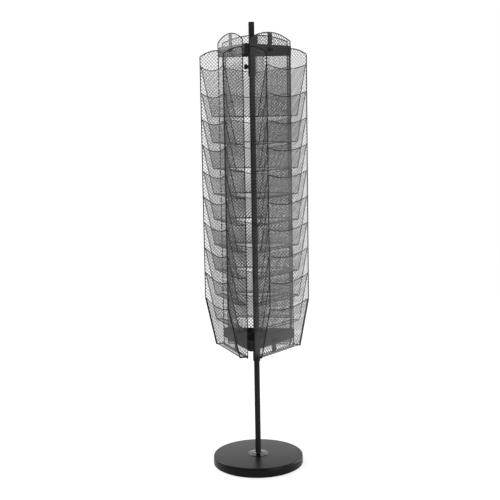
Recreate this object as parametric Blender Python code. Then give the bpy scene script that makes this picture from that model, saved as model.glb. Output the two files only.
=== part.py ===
"""Rotating brochure rack: three mesh racks of nested pockets on a pole that turns over a round base."""

import math

import bmesh
import bpy
from mathutils import Matrix, Vector

# Driving dimensions, in metres

# Clearances: touching pieces, and the pieces that turn on one another
GAP = 0.0003
RUNNING_GAP = 0.0003

# Height to the top of the pole's cap
OVERALL_HEIGHT = 1.726

# Base and foot
BASE_DIAMETER = 0.356
BASE_HEIGHT = 0.038
BASE_TOP_ROUND = 0.007
BASE_FOOT_ROUND = 0.003
BASE_DECK = 0.012
BASE_RIM_WIDTH = 0.018
BASE_BOSS_DIAMETER = 0.080
BASE_BOSS_RECESS = 0.013
PAD_THICKNESS = 0.002
PAD_INSET = 0.006
FLANGE_DIAMETER = 0.080
FLANGE_EDGE = 0.002
FLANGE_HEIGHT = 0.007
FLANGE_NECK_WIDTH = 0.004
FOOT_BOLT_DIAMETER = 0.010
FOOT_BOLT_REACH = 0.030
FOOT_BOLT_HEAD_WIDTH = 0.017
FOOT_BOLT_HEAD_HEIGHT = 0.0065
WASHER_DIAMETER = 0.030
WASHER_THICKNESS = 0.0025
FOOT_PLUG_LENGTH = 0.045

# Pole and swivel
POLE_DIAMETER = 0.0222
POLE_WALL = 0.0016
SPINDLE_PLUG_LENGTH = 0.035
SPINDLE_SHOULDER = 0.003
SPINDLE_PIN_DIAMETER = 0.012
SPINDLE_PIN_LENGTH = 0.060
BUSH_FLANGE = 0.0025
BUSH_LENGTH = 0.045
CAP_THICKNESS = 0.0025
CAP_PLUG_LENGTH = 0.015
CAP_EDGE_ROUND = 0.001

# Brackets: a sleeve on the pole, three arms, a flat triangular band and a short upright strap per rack
SLEEVE_DIAMETER = 0.029
SLEEVE_LENGTH = 0.121
SLEEVE_OVER_LOWER_POLE = 0.030
BAND_HEIGHT = 0.037
BAND_THICKNESS = 0.003
BAND_BEND = 0.008
BAND_BELOW_SLEEVE_TOP = 0.0075
ARM_THICKNESS = 0.004
ARM_HEIGHT = 0.033
STRAP_WIDTH = 0.025
STRAP_THICKNESS = 0.003
STRAP_WELD = 0.0005
LOWER_BRACKET_RISE = 0.0735
UPPER_BRACKET_DROP = 0.009

# Clamp knobs: how far each is below its sleeve's top, and the knob's own shape
UPPER_KNOB_DROP = 0.0855
LOWER_KNOB_DROP = 0.034
KNOB_DIAMETER = 0.020
KNOB_LENGTH = 0.012
KNOB_LOBES = 6
KNOB_LOBE_DEPTH = 0.0009
KNOB_EDGE_ROUND = 0.0015
KNOB_COLLAR_DIAMETER = 0.011
KNOB_COLLAR_LENGTH = 0.003
KNOB_SCREW_DIAMETER = 0.006

# Racks
RACK_WIDTH = 0.256
RACK_APOTHEM = 0.0882
POLE_ABOVE_ARCH = 0.044
RACK_DEPTH = 0.077
RACK_FOOT_DEPTH = 0.035
SHEET = 0.001
WIRE_DIAMETER = 0.004
WIRE_BEND = 0.0035
WALL_ABOVE_LIP = 0.0387
WALL_TOP_RISE = 0.0243
WALL_TOP_BULGE = 0.006
SHOULDER_RISE = 0.028
ARCH_RISE = 0.0277
ARCH_BEND = 0.012

# Pockets
POCKET_COUNT = 10
POCKET_PITCH = 0.100
POCKET_HEIGHT = 0.190
LIP_DIP = 0.019
LIP_BEAD = 0.003
FLOOR_BEND = 0.002
WINDOWS_ACROSS = 3
WINDOW_ROWS = 2
WINDOW_RIB = 0.007

# Facets
ROUND_STEPS = 20
BASE_STEPS = 48
FLANGE_STEPS = 36
KNOB_STEPS = 30
POCKET_SPANS = 6
ARCH_STEPS = 12
WALL_TOP_STEPS = 6
BEND_STEPS = 3
WIRE_BEND_STEPS = 2
BEND_LEAST_ANGLE = math.radians(20)
SMOOTH_ANGLE = math.radians(30)
MERGE = 1e-6

# The way each rack faces, as an angle about the pole from the +Y side
RACK_TURNS = {"rear": 0.0, "left": math.radians(120), "right": math.radians(240)}

# The way each clamp knob points, as an angle about the pole from the +X side
UPPER_KNOB_TURN = math.radians(180)
LOWER_KNOB_TURN = math.radians(150)

# Places that follow from the driving dimensions
WIRE_RADIUS = WIRE_DIAMETER / 2
EDGE_INSET = WIRE_RADIUS + GAP
POLE_RADIUS = POLE_DIAMETER / 2
POLE_BORE = POLE_RADIUS - POLE_WALL
SLEEVE_RADIUS = SLEEVE_DIAMETER / 2
SLEEVE_BORE = POLE_RADIUS + RUNNING_GAP

RIM_X = RACK_WIDTH / 2 - WIRE_RADIUS
RIM_DEPTH = RACK_DEPTH - WIRE_RADIUS
RIM_FOOT_DEPTH = RACK_FOOT_DEPTH - WIRE_RADIUS
SHOULDER = OVERALL_HEIGHT - POLE_ABOVE_ARCH - ARCH_RISE
WALL_INNER_TOP = SHOULDER - SHOULDER_RISE
WALL_OUTER_TOP = WALL_INNER_TOP - WALL_TOP_RISE
TOP_LIP = WALL_OUTER_TOP - WALL_ABOVE_LIP
KNEE = TOP_LIP - (POCKET_COUNT - 1) * POCKET_PITCH
FLOOR_LOWEST = KNEE - POCKET_HEIGHT
SIDE_BOTTOM = FLOOR_LOWEST - EDGE_INSET
RACK_BOTTOM = SIDE_BOTTOM - WIRE_BEND - WIRE_RADIUS
ARCH_RADIUS = (RIM_X ** 2 + ARCH_RISE ** 2) / (2 * ARCH_RISE)
ARCH_CENTRE = SHOULDER + ARCH_RISE - ARCH_RADIUS

FRONT_SLOPE = (RIM_DEPTH - RIM_FOOT_DEPTH) / (KNEE - SIDE_BOTTOM)
FRONT_COS = math.cos(math.atan(FRONT_SLOPE))

STRAP_FACE = RACK_APOTHEM - SHEET / 2 - GAP
BAND_APOTHEM = STRAP_FACE - STRAP_THICKNESS + STRAP_WELD
LOWER_SLEEVE_TOP = RACK_BOTTOM + LOWER_BRACKET_RISE
UPPER_SLEEVE_TOP = SHOULDER - UPPER_BRACKET_DROP
STRAP_TOP = ARCH_CENTRE + math.sqrt(ARCH_RADIUS ** 2 - (STRAP_WIDTH / 2) ** 2) - EDGE_INSET
STRAP_BOTTOM = RACK_BOTTOM + EDGE_INSET
STRAP_ABOVE = STRAP_TOP - UPPER_SLEEVE_TOP + BAND_BELOW_SLEEVE_TOP
STRAP_BELOW = LOWER_SLEEVE_TOP - BAND_BELOW_SLEEVE_TOP - BAND_HEIGHT - STRAP_BOTTOM

LOWER_POLE_TOP = LOWER_SLEEVE_TOP - SLEEVE_LENGTH + SLEEVE_OVER_LOWER_POLE
SHOULDER_BOTTOM = LOWER_POLE_TOP + GAP
SHOULDER_TOP = SHOULDER_BOTTOM + SPINDLE_SHOULDER
BUSH_BOTTOM = SHOULDER_TOP + RUNNING_GAP
UPPER_POLE_BOTTOM = BUSH_BOTTOM + BUSH_FLANGE + GAP
UPPER_POLE_TOP = OVERALL_HEIGHT - CAP_THICKNESS - GAP


def clear_scene():
    for old in list(bpy.data.objects):
        bpy.data.objects.remove(old, do_unlink=True)


def finish(name, colour, roughness, metallic):
    """A painted, plated or moulded surface as one Principled material."""
    made = bpy.data.materials.new(name)
    made.use_nodes = True
    shader = made.node_tree.nodes["Principled BSDF"]
    shader.inputs["Base Color"].default_value = (*colour, 1.0)
    shader.inputs["Roughness"].default_value = roughness
    shader.inputs["Metallic"].default_value = metallic
    return made


def mesh_of(work, name):
    """Closes a bmesh into a mesh: near doubles merged, faces pointing out, round edges smooth."""
    bmesh.ops.remove_doubles(work, verts=work.verts, dist=MERGE)
    bmesh.ops.dissolve_degenerate(work, edges=work.edges, dist=MERGE)
    bmesh.ops.recalc_face_normals(work, faces=work.faces)
    mesh = bpy.data.meshes.new(name)
    work.to_mesh(mesh)
    work.free()
    mesh.shade_smooth()
    mesh.set_sharp_from_angle(angle=SMOOTH_ANGLE)
    return mesh


def place(name, mesh, surface, parent, height=0.0, turn=0.0):
    """Puts a mesh in the scene as a named piece that hangs on an empty on the pole's axis."""
    piece = bpy.data.objects.new(name, mesh)
    bpy.context.scene.collection.objects.link(piece)
    if not mesh.materials:
        mesh.materials.append(surface)
    piece.parent = parent
    piece.location = (0.0, 0.0, height)
    piece.rotation_euler = (0.0, 0.0, turn)
    return piece


def axis_empty(name):
    empty = bpy.data.objects.new(name, None)
    bpy.context.scene.collection.objects.link(empty)
    return empty


def turned(name, profile, steps=ROUND_STEPS):
    """Spins a closed profile of (radius, height) points about the pole's axis."""
    work = bmesh.new()
    points = [work.verts.new((radius, 0.0, height)) for radius, height in profile]
    edges = [work.edges.new((a, b)) for a, b in zip(points, points[1:] + points[:1])]
    pole_axis = (0.0, 0.0, 1.0)
    bmesh.ops.spin(
        work, geom=points + edges, axis=pole_axis, angle=2 * math.pi, steps=steps, use_merge=True
    )
    inner_edges = [edge for edge in work.edges if edge.calc_length() > MERGE and on_axis(edge)]
    bmesh.ops.delete(work, geom=inner_edges, context="EDGES_FACES")
    return mesh_of(work, name)


def on_axis(edge):
    return all(vert.co.xy.length < MERGE for vert in edge.verts)


def tube_profile(inner, outer, bottom, top):
    return [(inner, bottom), (inner, top), (outer, top), (outer, bottom)]


def quarter_round(centre, radius, start, steps=BEND_STEPS):
    """Points of a quarter turn about a centre, clockwise from a start angle."""
    angles = [start - math.pi / 2 * step / steps for step in range(steps + 1)]
    return [(centre[0] + radius * math.cos(a), centre[1] + radius * math.sin(a)) for a in angles]


def prism(name, outline, low, high, stand):
    """Extrudes an outline between two distances; stand turns (u, v, distance) into a point."""
    work = bmesh.new()
    face = work.faces.new([work.verts.new(stand(u, v, low)) for u, v in outline])
    grown = bmesh.ops.extrude_face_region(work, geom=[face])
    far = [item for item in grown["geom"] if isinstance(item, bmesh.types.BMVert)]
    shift = stand(0.0, 0.0, high) - stand(0.0, 0.0, low)
    bmesh.ops.translate(work, verts=far, vec=shift)
    return mesh_of(work, name)


def facing(u, v, distance):
    """Upright drawing plane of a back panel: u across, v up, distance out from the pole."""
    return Vector((u, distance, v))


def sideways(u, v, distance):
    """Upright drawing plane of a side wall: u out from the back panel, v up, distance across."""
    return Vector((distance, RACK_APOTHEM + u, v))


def flat(u, v, distance):
    """Level drawing plane: u and v across the floor, distance up."""
    return Vector((u, v, distance))


def along_x(u, v, distance):
    """Drawing plane across a clamp screw that points to +X: u across, v up, distance from the pole."""
    return Vector((distance, u, v))


def inset(outline, distance):
    """Moves every side of a convex outline, listed anticlockwise, inwards by a distance."""
    count = len(outline)
    moved = []
    for index in range(count):
        before, here, after = outline[index - 1], outline[index], outline[(index + 1) % count]
        first = math.atan2(here[1] - before[1], here[0] - before[0])
        second = math.atan2(after[1] - here[1], after[0] - here[0])
        half_turn = math.remainder(second - first, 2 * math.pi) / 2
        inward = first + half_turn + math.pi / 2
        reach = distance / math.cos(half_turn)
        moved.append((here[0] + reach * math.cos(inward), here[1] + reach * math.sin(inward)))
    return moved


def rounded(outline, radius, closed=True, steps=BEND_STEPS):
    """Replaces the sharp corners of an outline by bends of one radius."""
    made = []
    count = len(outline)
    for index, here in enumerate(outline):
        if not closed and index in (0, count - 1):
            made.append(here)
            continue
        before, after = outline[index - 1], outline[(index + 1) % count]
        first = math.atan2(here[1] - before[1], here[0] - before[0])
        second = math.atan2(after[1] - here[1], after[0] - here[0])
        turn = math.remainder(second - first, 2 * math.pi)
        if abs(turn) < BEND_LEAST_ANGLE:
            made.append(here)
            continue
        side = math.copysign(math.pi / 2, turn)
        setback = radius * math.tan(abs(turn) / 2)
        start = (here[0] - setback * math.cos(first), here[1] - setback * math.sin(first))
        centre = (start[0] + radius * math.cos(first + side), start[1] + radius * math.sin(first + side))
        for step in range(steps + 1):
            angle = first - side + turn * step / steps
            made.append((centre[0] + radius * math.cos(angle), centre[1] + radius * math.sin(angle)))
    return made


def wire(name, points, closed):
    """A round wire bent along a line of points, as a mesh."""
    curve = bpy.data.curves.new(name, "CURVE")
    curve.dimensions = "3D"
    curve.bevel_depth = WIRE_RADIUS
    curve.bevel_resolution = 1
    curve.use_fill_caps = True
    spline = curve.splines.new("POLY")
    spline.points.add(len(points) - 1)
    for knot, point in zip(spline.points, points):
        knot.co = (*point, 1.0)
    spline.use_cyclic_u = closed
    bent = bpy.data.objects.new(name, curve)
    bpy.context.scene.collection.objects.link(bent)
    work = bmesh.new()
    work.from_mesh(settled(bent))
    bpy.data.objects.remove(bent, do_unlink=True)
    return mesh_of(work, name)


def settled(piece):
    """The mesh of an object with its bevel and modifiers carried out."""
    bpy.context.view_layer.update()
    graph = bpy.context.evaluated_depsgraph_get()
    return bpy.data.meshes.new_from_object(piece.evaluated_get(graph), depsgraph=graph)


def combined(name, first, others, cuts=()):
    """Welds meshes into one body, then cuts others out of it."""
    body = bpy.data.objects.new(name, first)
    bpy.context.scene.collection.objects.link(body)
    tools = []
    for operation, meshes in (("UNION", others), ("DIFFERENCE", cuts)):
        for mesh in meshes:
            tool = bpy.data.objects.new(name + "_tool", mesh)
            bpy.context.scene.collection.objects.link(tool)
            step = body.modifiers.new(operation.lower(), "BOOLEAN")
            step.operation = operation
            step.object = tool
            tools.append(tool)
    work = bmesh.new()
    work.from_mesh(settled(body))
    for piece in [body] + tools:
        bpy.data.objects.remove(piece, do_unlink=True)
    return mesh_of(work, name)


# Stand: cast base, foot, fixed pole and the spindle that the rest turns on


def base_casting_mesh():
    """Round casting, hollow below, with a solid rim and a boss for the pole bolt."""
    radius = BASE_DIAMETER / 2
    foot = PAD_THICKNESS + GAP
    bore = FOOT_BOLT_DIAMETER / 2 + GAP
    profile = [(bore, foot + BASE_BOSS_RECESS), (bore, BASE_HEIGHT)]
    top_edge = (radius - BASE_TOP_ROUND, BASE_HEIGHT - BASE_TOP_ROUND)
    foot_edge = (radius - BASE_FOOT_ROUND, foot + BASE_FOOT_ROUND)
    profile += quarter_round(top_edge, BASE_TOP_ROUND, math.pi / 2)
    profile += quarter_round(foot_edge, BASE_FOOT_ROUND, 0.0)
    profile += [
        (radius - BASE_RIM_WIDTH, foot),
        (radius - BASE_RIM_WIDTH, BASE_HEIGHT - BASE_DECK),
        (BASE_BOSS_DIAMETER / 2, BASE_HEIGHT - BASE_DECK),
        (BASE_BOSS_DIAMETER / 2, foot + BASE_BOSS_RECESS),
    ]
    return turned("base_casting", profile, BASE_STEPS)


def base_pad_mesh():
    radius = BASE_DIAMETER / 2 - PAD_INSET
    profile = [(0.0, 0.0), (0.0, PAD_THICKNESS), (radius, PAD_THICKNESS), (radius, 0.0)]
    return turned("base_pad", profile, BASE_STEPS)


def foot_flange_mesh():
    """Dished ring that covers the foot of the pole."""
    bore = POLE_RADIUS + GAP
    low = BASE_HEIGHT + GAP
    profile = [
        (bore, low),
        (bore, low + FLANGE_HEIGHT),
        (bore + FLANGE_NECK_WIDTH, low + FLANGE_HEIGHT),
        (FLANGE_DIAMETER / 2, low + FLANGE_EDGE),
        (FLANGE_DIAMETER / 2, low),
    ]
    return turned("foot_flange", profile, FLANGE_STEPS)


def base_washer_mesh():
    top = PAD_THICKNESS + GAP + BASE_BOSS_RECESS - GAP
    bore = FOOT_BOLT_DIAMETER / 2 + GAP
    return turned("base_washer", tube_profile(bore, WASHER_DIAMETER / 2, top - WASHER_THICKNESS, top))


def base_bolt_mesh():
    """Hexagon bolt, head down in the hollow of the base, shank up into the pole's plug."""
    head_top = PAD_THICKNESS + BASE_BOSS_RECESS - WASHER_THICKNESS - GAP
    corner = FOOT_BOLT_HEAD_WIDTH / math.sqrt(3)
    hexagon = [(corner * math.cos(i * math.pi / 3), corner * math.sin(i * math.pi / 3)) for i in range(6)]
    head = prism("base_bolt", hexagon, head_top - FOOT_BOLT_HEAD_HEIGHT, head_top, flat)
    radius = FOOT_BOLT_DIAMETER / 2
    low = head_top - FOOT_BOLT_HEAD_HEIGHT / 2
    high = BASE_HEIGHT + FOOT_BOLT_REACH
    shank = turned("base_bolt_shank", [(0.0, low), (0.0, high), (radius, high), (radius, low)])
    return combined("base_bolt", head, [shank])


def foot_plug_mesh():
    """Tapped plug in the foot of the pole, with a blind hole for the base bolt."""
    low = BASE_HEIGHT + GAP
    outer = POLE_BORE - GAP
    bore = FOOT_BOLT_DIAMETER / 2 + GAP
    hole_end = BASE_HEIGHT + FOOT_BOLT_REACH + GAP
    top = low + FOOT_PLUG_LENGTH
    profile = [(0.0, hole_end), (0.0, top), (outer, top), (outer, low), (bore, low), (bore, hole_end)]
    return turned("foot_plug", profile)


def lower_pole_mesh():
    return turned("lower_pole", tube_profile(POLE_BORE, POLE_RADIUS, BASE_HEIGHT + GAP, LOWER_POLE_TOP))


def spindle_mesh():
    """Turned plug in the head of the fixed pole, with a shoulder and a pin."""
    plug = POLE_BORE - GAP
    pin = SPINDLE_PIN_DIAMETER / 2
    low = LOWER_POLE_TOP - SPINDLE_PLUG_LENGTH
    high = SHOULDER_TOP + SPINDLE_PIN_LENGTH
    profile = [
        (0.0, low),
        (0.0, high),
        (pin, high),
        (pin, SHOULDER_TOP),
        (POLE_RADIUS, SHOULDER_TOP),
        (POLE_RADIUS, SHOULDER_BOTTOM),
        (plug, SHOULDER_BOTTOM),
        (plug, low),
    ]
    return turned("spindle", profile)


# Turning pole: bush, tube, cap


def bush_mesh():
    """Flanged plain bearing: its flange runs on the spindle's shoulder, its bore on the pin."""
    bore = SPINDLE_PIN_DIAMETER / 2 + RUNNING_GAP
    body = POLE_BORE - GAP
    flange_top = BUSH_BOTTOM + BUSH_FLANGE
    top = flange_top + BUSH_LENGTH
    profile = [
        (bore, BUSH_BOTTOM),
        (bore, top),
        (body, top),
        (body, flange_top),
        (POLE_RADIUS, flange_top),
        (POLE_RADIUS, BUSH_BOTTOM),
    ]
    return turned("bush", profile)


def upper_pole_mesh():
    return turned("upper_pole", tube_profile(POLE_BORE, POLE_RADIUS, UPPER_POLE_BOTTOM, UPPER_POLE_TOP))


def pole_cap_mesh():
    low = OVERALL_HEIGHT - CAP_THICKNESS
    plug = POLE_BORE - GAP
    plug_end = low - CAP_PLUG_LENGTH
    edge = (POLE_RADIUS - CAP_EDGE_ROUND, OVERALL_HEIGHT - CAP_EDGE_ROUND)
    profile = [(0.0, plug_end), (0.0, OVERALL_HEIGHT)]
    profile += quarter_round(edge, CAP_EDGE_ROUND, math.pi / 2)
    profile += [(POLE_RADIUS, low), (plug, low), (plug, plug_end)]
    return turned("pole_cap", profile)


# Brackets and clamp knobs


def band_mesh(low, high):
    """Flat bar bent into a closed triangle that the three racks sit against."""
    far = 2 * BAND_APOTHEM
    corners = [math.radians(angle) for angle in (30, 150, 270)]
    outer = rounded([(far * math.cos(a), far * math.sin(a)) for a in corners], BAND_BEND)
    inner = inset(outer, BAND_THICKNESS)
    work = bmesh.new()
    rings = []
    for outline, height in ((outer, low), (outer, high), (inner, high), (inner, low)):
        rings.append([work.verts.new((x, y, height)) for x, y in outline])
    count = len(outer)
    for ring, following in zip(rings, rings[1:] + rings[:1]):
        for index in range(count):
            ahead = (index + 1) % count
            work.faces.new((ring[index], ring[ahead], following[ahead], following[index]))
    return mesh_of(work, "band")


def arm_mesh(direction, middle):
    """Flat arm on edge, from the sleeve's wall to the middle of one side of the band."""
    start = (SLEEVE_BORE + SLEEVE_RADIUS) / 2
    end = BAND_APOTHEM - BAND_THICKNESS / 2
    half = ARM_THICKNESS / 2
    corners = [(start, -half), (end, -half), (end, half), (start, half)]
    sine, cosine = math.sin(direction), math.cos(direction)
    outline = [(u * cosine - v * sine, u * sine + v * cosine) for u, v in corners]
    return prism("arm", outline, middle - ARM_HEIGHT / 2, middle + ARM_HEIGHT / 2, flat)


def strap_mesh(turn, low, high):
    """Upright flat strap on the outer face of the band, that the middle of a back panel rests on."""
    half = STRAP_WIDTH / 2
    outline = [(-half, low), (half, low), (half, high), (-half, high)]
    strap = prism("strap", outline, STRAP_FACE - STRAP_THICKNESS, STRAP_FACE, facing)
    strap.transform(Matrix.Rotation(turn, 4, "Z"))
    return strap


def bracket_mesh(knob_drop, knob_turn, strap_above, strap_below):
    """Sleeve, arms, band and straps welded together, with the clamp screw's hole.

    The sleeve's top is at zero; the straps stand out above and below the band by the two last values.
    """
    band_top = -BAND_BELOW_SLEEVE_TOP
    band_bottom = band_top - BAND_HEIGHT
    band_middle = (band_top + band_bottom) / 2
    sleeve = turned("sleeve", tube_profile(SLEEVE_BORE, SLEEVE_RADIUS, -SLEEVE_LENGTH, 0.0))
    arms = [arm_mesh(turn + math.pi / 2, band_middle) for turn in RACK_TURNS.values()]
    band = band_mesh(band_bottom, band_top)
    strap_ends = (band_bottom - strap_below, band_top + strap_above)
    straps = [strap_mesh(turn, *strap_ends) for turn in RACK_TURNS.values()]
    hole = clamp_hole_mesh(knob_drop, knob_turn)
    return combined("bracket", sleeve, arms + [band] + straps, [hole])


def clamp_hole_mesh(knob_drop, knob_turn):
    """Round cutter through one wall of the sleeve, at the clamp knob's height."""
    radius = KNOB_SCREW_DIAMETER / 2 + RUNNING_GAP
    steps = ROUND_STEPS // 2
    angles = [2 * math.pi * step / steps for step in range(steps)]
    outline = [(radius * math.cos(a), radius * math.sin(a) - knob_drop) for a in angles]
    hole = prism("clamp_hole", outline, POLE_RADIUS / 2, 2 * SLEEVE_RADIUS, along_x)
    hole.transform(Matrix.Rotation(knob_turn, 4, "Z"))
    return hole


def knob_mesh():
    """Lobed hand knob with a collar and a clamp screw, from the pole outwards towards +X."""
    screw = KNOB_SCREW_DIAMETER / 2
    collar = KNOB_COLLAR_DIAMETER / 2
    head = KNOB_DIAMETER / 2 - KNOB_LOBE_DEPTH
    seat = SLEEVE_RADIUS + RUNNING_GAP
    head_start = seat + KNOB_COLLAR_LENGTH
    head_end = head_start + KNOB_LENGTH
    stations = [
        (POLE_RADIUS + RUNNING_GAP, screw, 0.0),
        (seat, screw, 0.0),
        (seat, collar, 0.0),
        (head_start, collar, 0.0),
        (head_start, head - KNOB_EDGE_ROUND, KNOB_LOBE_DEPTH),
        (head_start + KNOB_EDGE_ROUND, head, KNOB_LOBE_DEPTH),
        (head_end - KNOB_EDGE_ROUND, head, KNOB_LOBE_DEPTH),
        (head_end, head - KNOB_EDGE_ROUND, KNOB_LOBE_DEPTH),
    ]
    work = bmesh.new()
    rings = []
    for distance, radius, lobe in stations:
        ring = []
        for step in range(KNOB_STEPS):
            angle = 2 * math.pi * step / KNOB_STEPS
            reach = radius + lobe * math.cos(KNOB_LOBES * angle)
            point = along_x(reach * math.cos(angle), reach * math.sin(angle), distance)
            ring.append(work.verts.new(point))
        rings.append(ring)
    for ring, following in zip(rings, rings[1:]):
        for index in range(KNOB_STEPS):
            ahead = (index + 1) % KNOB_STEPS
            work.faces.new((ring[index], ring[ahead], following[ahead], following[index]))
    work.faces.new(rings[0])
    work.faces.new(rings[-1])
    return mesh_of(work, "knob")


# Racks: an arched back panel and two side walls in a wire rim, and ten pockets


def panel_outline():
    """Wire line round the back panel, anticlockwise: straight foot and sides, arched top."""
    span = math.asin(RIM_X / ARCH_RADIUS)
    outline = [(RIM_X, RACK_BOTTOM)]
    for step in range(ARCH_STEPS + 1):
        angle = span - 2 * span * step / ARCH_STEPS
        outline.append((ARCH_RADIUS * math.sin(angle), ARCH_CENTRE + ARCH_RADIUS * math.cos(angle)))
    outline.append((-RIM_X, RACK_BOTTOM))
    return rounded(rounded(outline, ARCH_BEND, closed=False), WIRE_BEND, steps=WIRE_BEND_STEPS)


def wall_outline():
    """Wire line round a side wall, anticlockwise from the foot of the back panel."""
    outline = [(0.0, SIDE_BOTTOM), (RIM_FOOT_DEPTH, SIDE_BOTTOM)]
    outline += [(RIM_DEPTH, KNEE), (RIM_DEPTH, WALL_OUTER_TOP)]
    for step in range(1, WALL_TOP_STEPS):
        share = step / WALL_TOP_STEPS
        rise = WALL_TOP_RISE * share + 4 * WALL_TOP_BULGE * share * (1 - share)
        outline.append((RIM_DEPTH * (1 - share), WALL_OUTER_TOP + rise))
    outline.append((0.0, WALL_INNER_TOP))
    return rounded(outline, WIRE_BEND, closed=False, steps=WIRE_BEND_STEPS)


def rim_mesh():
    """Wire frame round the back panel with a bent wire round each side wall, welded at the corners."""
    frame = [facing(x, z, RACK_APOTHEM) for x, z in panel_outline()]
    line = wall_outline()
    sides = [wire("side_wire", [sideways(n, z, x) for n, z in line], False) for x in (-RIM_X, RIM_X)]
    return combined("rim", wire("panel_wire", frame, True), sides)


def panel_mesh():
    outline = inset(panel_outline(), EDGE_INSET)
    return prism("back_panel", outline, RACK_APOTHEM - SHEET / 2, RACK_APOTHEM + SHEET / 2, facing)


def wall_mesh(x):
    outline = inset(wall_outline(), EDGE_INSET)
    return prism("side_wall", outline, x - SHEET / 2, x + SHEET / 2, sideways)


def front_depth(height):
    """Depth of a pocket front's outer face at a height over the pocket's floor."""
    return RIM_FOOT_DEPTH + (height + EDGE_INSET) * FRONT_SLOPE - EDGE_INSET / FRONT_COS


def pocket_section(lip):
    """Section through a pocket of a given lip height: floor, bend, slanted front and beaded lip."""
    wall = SHEET / FRONT_COS
    under_bead = lip - LIP_BEAD
    return [
        (EDGE_INSET, 0.0),
        (front_depth(0.0) - FLOOR_BEND, 0.0),
        (front_depth(FLOOR_BEND), FLOOR_BEND),
        (front_depth(lip), lip),
        (front_depth(lip) - LIP_BEAD, lip),
        (front_depth(under_bead) - LIP_BEAD, under_bead),
        (front_depth(under_bead) - wall, under_bead),
        (front_depth(SHEET + FLOOR_BEND) - wall, SHEET + FLOOR_BEND),
        (front_depth(SHEET) - FLOOR_BEND - wall, SHEET),
        (EDGE_INSET, SHEET),
    ]


def window_meshes(half):
    """Cutters for a plain grid of openings that stands for the mesh of a pocket's front."""
    bottom = FLOOR_BEND + WINDOW_RIB
    top = POCKET_HEIGHT - LIP_DIP - LIP_BEAD - WINDOW_RIB
    width = (2 * half - WINDOW_RIB) / WINDOWS_ACROSS - WINDOW_RIB
    height = (top - bottom + WINDOW_RIB) / WINDOW_ROWS - WINDOW_RIB
    windows = []
    for row in range(WINDOW_ROWS):
        low = bottom + row * (height + WINDOW_RIB)
        for column in range(WINDOWS_ACROSS):
            left = WINDOW_RIB - half + column * (width + WINDOW_RIB)
            corners = [(left, low), (left + width, low), (left + width, low + height), (left, low + height)]
            windows.append(prism("window", corners, RACK_APOTHEM, RACK_APOTHEM + RACK_DEPTH, facing))
    return windows


def pocket_mesh():
    """Pocket lofted across the rack, its sections differing in how far the lip dips, then cut open."""
    half = RIM_X - SHEET / 2 - GAP
    work = bmesh.new()
    rings = []
    for span in range(POCKET_SPANS + 1):
        across = -1 + 2 * span / POCKET_SPANS
        lip = POCKET_HEIGHT - LIP_DIP * (1 - across ** 2)
        ring = [work.verts.new((across * half, RACK_APOTHEM + n, z)) for n, z in pocket_section(lip)]
        rings.append(ring)
    count = len(rings[0])
    for ring, following in zip(rings, rings[1:]):
        for index in range(count):
            ahead = (index + 1) % count
            work.faces.new((ring[index], ring[ahead], following[ahead], following[index]))
    work.faces.new(rings[0])
    work.faces.new(rings[-1])
    return combined("pocket", mesh_of(work, "pocket"), [], window_meshes(half))


def build_stand(black, plated, felt):
    axis = axis_empty("stand_axis")
    place("base_pad", base_pad_mesh(), felt, axis)
    place("base_casting", base_casting_mesh(), black, axis)
    place("base_washer", base_washer_mesh(), plated, axis)
    place("base_bolt", base_bolt_mesh(), plated, axis)
    place("foot_plug", foot_plug_mesh(), plated, axis)
    place("foot_flange", foot_flange_mesh(), plated, axis)
    place("lower_pole", lower_pole_mesh(), black, axis)
    place("spindle", spindle_mesh(), plated, axis)


def build_turning_pole(black, plastic, plated, nylon):
    axis = axis_empty("turning_axis")
    place("bush", bush_mesh(), nylon, axis)
    place("upper_pole", upper_pole_mesh(), black, axis)
    place("pole_cap", pole_cap_mesh(), plastic, axis)
    upper_bracket = bracket_mesh(UPPER_KNOB_DROP, UPPER_KNOB_TURN, STRAP_ABOVE, 0.0)
    lower_bracket = bracket_mesh(LOWER_KNOB_DROP, LOWER_KNOB_TURN, 0.0, STRAP_BELOW)
    place("upper_bracket", upper_bracket, black, axis, UPPER_SLEEVE_TOP)
    place("lower_bracket", lower_bracket, black, axis, LOWER_SLEEVE_TOP)
    place("upper_knob", knob_mesh(), plastic, axis, UPPER_SLEEVE_TOP - UPPER_KNOB_DROP, UPPER_KNOB_TURN)
    place("lower_knob", knob_mesh(), plated, axis, LOWER_SLEEVE_TOP - LOWER_KNOB_DROP, LOWER_KNOB_TURN)
    return axis


def build_racks(black, axis):
    rim, panel, pocket = rim_mesh(), panel_mesh(), pocket_mesh()
    walls = {"a": wall_mesh(-RIM_X), "b": wall_mesh(RIM_X)}
    for rack, turn in RACK_TURNS.items():
        place(rack + "_rack_rim", rim, black, axis, turn=turn)
        place(rack + "_rack_back_panel", panel, black, axis, turn=turn)
        for side, wall in walls.items():
            place(f"{rack}_rack_side_wall_{side}", wall, black, axis, turn=turn)
        for number in range(1, POCKET_COUNT + 1):
            floor = FLOOR_LOWEST + (POCKET_COUNT - number) * POCKET_PITCH
            place(f"{rack}_rack_pocket_{number:02d}", pocket, black, axis, floor, turn)


clear_scene()
BLACK_COAT = finish("satin_black_powder_coat", (0.012, 0.012, 0.013), 0.45, 0.0)
BLACK_PLASTIC = finish("black_moulded_plastic", (0.008, 0.008, 0.008), 0.4, 0.0)
DARK_PLATE = finish("black_nickel_plate", (0.18, 0.18, 0.19), 0.2, 1.0)
NYLON = finish("natural_nylon", (0.75, 0.73, 0.68), 0.5, 0.0)
FELT = finish("black_felt", (0.02, 0.02, 0.02), 0.95, 0.0)
build_stand(BLACK_COAT, DARK_PLATE, FELT)
TURNING_AXIS = build_turning_pole(BLACK_COAT, BLACK_PLASTIC, DARK_PLATE, NYLON)
build_racks(BLACK_COAT, TURNING_AXIS)
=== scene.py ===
"""Looks of the rotating brochure rack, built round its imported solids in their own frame."""

import math

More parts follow.
